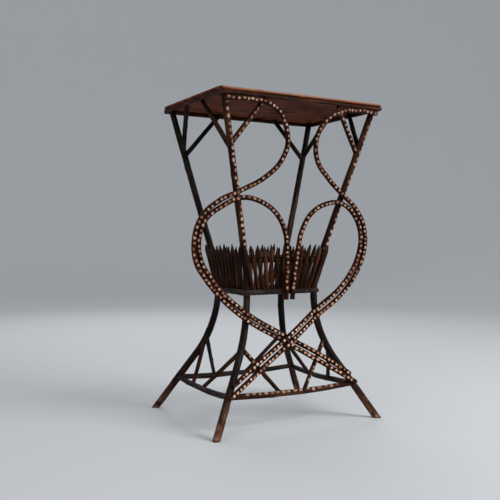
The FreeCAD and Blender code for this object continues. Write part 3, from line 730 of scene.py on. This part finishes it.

# FRONT RODS
# Four long supple twigs: two scrolls that curl under the board and loop out
# past the legs, and two hooks that rise from the basket and run beside them.
# All cross in front and carry a close row of chips, cut to the pale wood.

# The chips' pale wood darkens with height: painted light on the lower crossing and painted shade on
# the upper loops.
rod_bark = bark("rod_bark", (0.0035, 0.0008, 0.0004), (0.0165, 0.0037, 0.0018),
                (0.072, 0.020, 0.0100), raw=((0.29, 0.113, 0.059), (0.79, 0.504, 0.362)),
                raw_tints=((0.22, (1, 1, 1)), (0.36, (0.64, 0.64, 0.64)),
                           (0.58, (0.60, 0.60, 0.60)), (0.70, (0.54, 0.54, 0.54))))
# What holds the rod, its place across as a share of the loops' reach, and its
# height as a share of the board's. "top" and "rim" give the drop below the rim
# as a share of the drop at which rod and rim touch. Where two rods cross, one
# goes "over" and one "under".
rods = {
    "scroll_rod_left": (
        ("top", None, 1.09), ("rim", -0.63, 1.02), ("rim", -0.41, 1.37), ("free", -0.257, 0.943),
        ("free", -0.161, 0.896), ("free", -0.135, 0.849), ("free", -0.196, 0.799),
        ("free", -0.378, 0.745), ("own", None, 0.706), ("free", -0.822, 0.677),
        ("free", -0.996, 0.631), ("free", -1.074, 0.561), ("free", -1.043, 0.493),
        ("free", -0.930, 0.442), ("free", -0.739, 0.380), ("own", None, 0.3155),
        ("under", -0.078, 0.249), ("free", 0.274, 0.184), ("other", None, 0.1160),
    ),
    "scroll_rod_right": (
        ("top", None, 1.09), ("rim", 0.70, 1.02), ("rim", 0.504, 1.37), ("free", 0.343, 0.942),
        ("free", 0.235, 0.901), ("free", 0.200, 0.851), ("free", 0.239, 0.804),
        ("free", 0.383, 0.757), ("own", None, 0.700), ("free", 0.757, 0.670),
        ("free", 0.883, 0.619), ("free", 0.928, 0.555), ("free", 0.891, 0.495),
        ("free", 0.796, 0.439), ("free", 0.648, 0.385), ("own", None, 0.325),
        ("over", 0.043, 0.2640), ("free", -0.304, 0.197), ("other", None, 0.110),
    ),
    "hook_rod_left": (
        ("rail", -0.048, 0.377), ("rail", -0.046, 0.403), ("free", -0.044, 0.460),
        ("free", -0.048, 0.530), ("free", -0.078, 0.5865), ("free", -0.174, 0.638),
        ("free", -0.365, 0.676), ("own", None, 0.6855), ("free", -0.787, 0.661),
        ("free", -0.956, 0.621), ("free", -1.022, 0.557), ("free", -0.992, 0.4980),
        ("free", -0.891, 0.4505), ("free", -0.706, 0.392), ("own", None, 0.3335),
        ("under", -0.052, 0.2635), ("free", 0.296, 0.2020), ("other", None, 0.1425),
    ),
    "hook_rod_right": (
        ("rail", 0.024, 0.377), ("rail", 0.030, 0.403), ("free", 0.046, 0.460),
        ("free", 0.078, 0.530), ("free", 0.117, 0.5865), ("free", 0.209, 0.638),
        ("free", 0.383, 0.673), ("own", None, 0.678), ("free", 0.726, 0.657),
        ("free", 0.837, 0.611), ("free", 0.876, 0.554), ("free", 0.841, 0.500),
        ("free", 0.752, 0.448), ("free", 0.609, 0.3985), ("own", None, 0.346),
        ("over", 0.009, 0.2777), ("free", -0.335, 0.2115), ("other", None, 0.1435),
    ),
}
rod_thickness, rod_end = 0.011, 0.005
rod_chip_pitch, rod_chip_size = 0.0118, (0.0060, 0.0007)
first_rod_chip, first_hook_chip = 0.006, 0.028
loop_reach, rim_drop, leg_to_rod, rail_to_rod, cross_step = 0.23, 0.01035, 0.0136, 0.0057, 0.00644
rim_middle = (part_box("rim_front")[0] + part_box("rim_front")[1]) / 2
rail_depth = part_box("basket_base_rail_front")[0].y - rail_to_rod
frame_drift = middle(board_top / 2)


def row_leg(hold, side):
    """The front leg that a row lies on, if any."""
    return {"own": (side, FRONT), "top": (side, FRONT), "other": (-side, FRONT)}.get(hold)


def rod_points(rows, side):
    """The rod's places, lying on whatever holds it and eased from one hold to the next."""
    points = []
    for hold, x_share, z_share in rows:
        height = z_share * board_top
        if hold in ("top", "rim"):
            height = rim_middle.z - rim_drop * z_share
        leg = row_leg(hold, side)
        x = leg_at(leg, height)[0].x if leg else x_share * loop_reach + frame_drift.x
        points.append(Vector((x, 0, height)))
    travel = [0]
    for a, b in zip(points, points[1:]):
        travel.append(travel[-1] + (b - a).length)
    for _ in range(4):
        depths = {}
        for i, (hold, _, _) in enumerate(rows):
            if row_leg(hold, side):
                axis, slope = leg_at(row_leg(hold, side), points[i].z)
                run = points[min(i + 1, len(points) - 1)] - points[max(i - 1, 0)]
                depths[i] = axis.y - leg_to_rod / abs(slope.cross(run).normalized().y)
            elif hold == "rim":
                depths[i] = rim_middle.y
            elif hold == "rail":
                depths[i] = rail_depth
        for i, point in enumerate(points):
            before = max(k for k in depths if k <= i)
            after = min(k for k in depths if k >= i)
            share = (travel[i] - travel[before]) / max(1e-9, travel[after] - travel[before])
            step = {"over": -1, "under": 1}.get(rows[i][0], 0)
            point.y = depths[before] + (depths[after] - depths[before]) * share + step * cross_step
    return points


for number, (name, rows) in enumerate(rods.items()):
    scroll = name.startswith("scroll")
    side = LEFT if name.endswith("left") else RIGHT
    line = eased_line(rod_points(rows, side), 16)
    line.append(line[-1] + (line[-1] - line[-2]).normalized() * rod_end)
    if scroll:
        line.insert(0, line[0] + (line[0] - line[1]).normalized() * rod_end)
    chips = chip_places(first_rod_chip if scroll else first_hook_chip,
                        line_length(line) - first_rod_chip, rod_chip_pitch, 70 + number)
    twig(name, line, rod_thickness, rod_bark, "rod_bark", facing=Vector((-0.22, -1, 0)),
         seed=70.0 + number, sides=24, step=0.0013, taper=(1.05, 1.0), lumps=0.06, chips=chips,
         chip_size=rod_chip_size, wander=0.0008)

# NAILS
# Plain wire nails and brads with flat heads, gone brown with rust, through the
# board, the sticks' ends, the rails, the pickets and the rods.

rust = bpy.data.materials.new("nail_iron")
rust.use_nodes = True
tree = rust.node_tree
shader = tree.nodes["Principled BSDF"]
place = tree.nodes.new("ShaderNodeTexCoord").outputs["Object"]
specks = grain_noise(tree, place, (1400, 1400, 1400), 4)
link(tree, ramp(tree, specks, ((0.35, (0.030, 0.022, 0.018)), (0.65, (0.115, 0.055, 0.030)))),
     shader.inputs["Base Color"])
link(tree, ramp(tree, specks, ((0.35, (0.45, 0.45, 0.45)), (0.65, (0.8, 0.8, 0.8)))),
     shader.inputs["Roughness"])
shader.inputs["Metallic"].default_value = 0.6
bumped(tree, shader, specks, 0.4, 0.0003)
for name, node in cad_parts.items():
    if name.endswith(("_nails", "_brads")):
        node.data.materials.clear()
        node.data.materials.append(rust)

# STUDIO
# A plain pale floor that sweeps up all round, soft light from the front right
# and a level camera at the front left, half way up the table.

stage_paint = bpy.data.materials.new("stage_paint")
stage_paint.use_nodes = True
shader = stage_paint.node_tree.nodes["Principled BSDF"]
shader.inputs["Base Color"].default_value = (0.62, 0.64, 0.66, 1)
shader.inputs["Roughness"].default_value = 0.9
floor_reach, sweep_radius, wall_rise = 3.0, 1.8, 1.2
bm = bmesh.new()
hub = bmesh.ops.create_vert(bm, co=(0, 0, 0))["vert"]
floor_run = bmesh.ops.extrude_vert_indiv(bm, verts=hub)["verts"]
bmesh.ops.translate(bm, verts=floor_run, vec=(floor_reach, 0, 0))
rise = bmesh.ops.spin(bm, geom=floor_run, cent=(floor_reach, 0, sweep_radius), axis=(0, -1, 0),
                      angle=math.radians(90), steps=24)
wall_foot = [v for v in rise["geom_last"] if isinstance(v, bmesh.types.BMVert)]
wall_top = bmesh.ops.extrude_vert_indiv(bm, verts=wall_foot)["verts"]
bmesh.ops.translate(bm, verts=wall_top, vec=(0, 0, wall_rise))
bmesh.ops.spin(bm, geom=bm.verts[:] + bm.edges[:], cent=(0, 0, 0), axis=(0, 0, 1),
               angle=math.radians(360), steps=96, use_merge=True)
bmesh.ops.remove_doubles(bm, verts=bm.verts, dist=0.0001)
bmesh.ops.recalc_face_normals(bm, faces=bm.faces)
sweep = bpy.data.meshes.new("studio_floor")
bm.to_mesh(sweep)
bm.free()
sweep.shade_smooth()
sweep.materials.append(stage_paint)
studio_floor = bpy.data.objects.new("studio_floor", sweep)
bpy.context.scene.collection.objects.link(studio_floor)


def soft_lamp(name, place, aim, size, power):
    light = bpy.data.lights.new(name, "AREA")
    light.shape = "DISK"
    light.size = size
    light.energy = power
    lamp = bpy.data.objects.new(name, light)
    lamp.location = place
    lamp.rotation_euler = (Vector(aim) - Vector(place)).to_track_quat("-Z", "Y").to_euler()
    bpy.context.scene.collection.objects.link(lamp)


soft_lamp("window", (1.5, -2.1, 1.7), (0, 0, 0.4), 1.6, 62)
soft_lamp("fill", (-2.2, -1.2, 1.5), (0, 0, 0.4), 1.8, 8)
soft_lamp("rear", (0.6, 2.2, 1.9), (0, 0, 0.4), 1.6, 18)

world = bpy.data.worlds.new("studio_air")
bpy.context.scene.world = world
world.use_nodes = True
air = world.node_tree.nodes["Background"]
air.inputs["Color"].default_value = (0.80, 0.82, 0.84, 1)
air.inputs["Strength"].default_value = 0.56
bpy.context.scene.view_settings.view_transform = "Standard"

lens = bpy.data.cameras.new("photo_lens")
lens.sensor_width = 36
lens.lens = 53.6
lens.shift_y = -0.0136
lens.clip_end = 60
camera = bpy.data.objects.new("photo_camera", lens)
camera.location = (-0.9251, -1.5401, 0.4081)
camera.rotation_euler = (math.radians(90), 0, math.radians(-30.08))
bpy.context.scene.collection.objects.link(camera)
bpy.context.scene.camera = camera
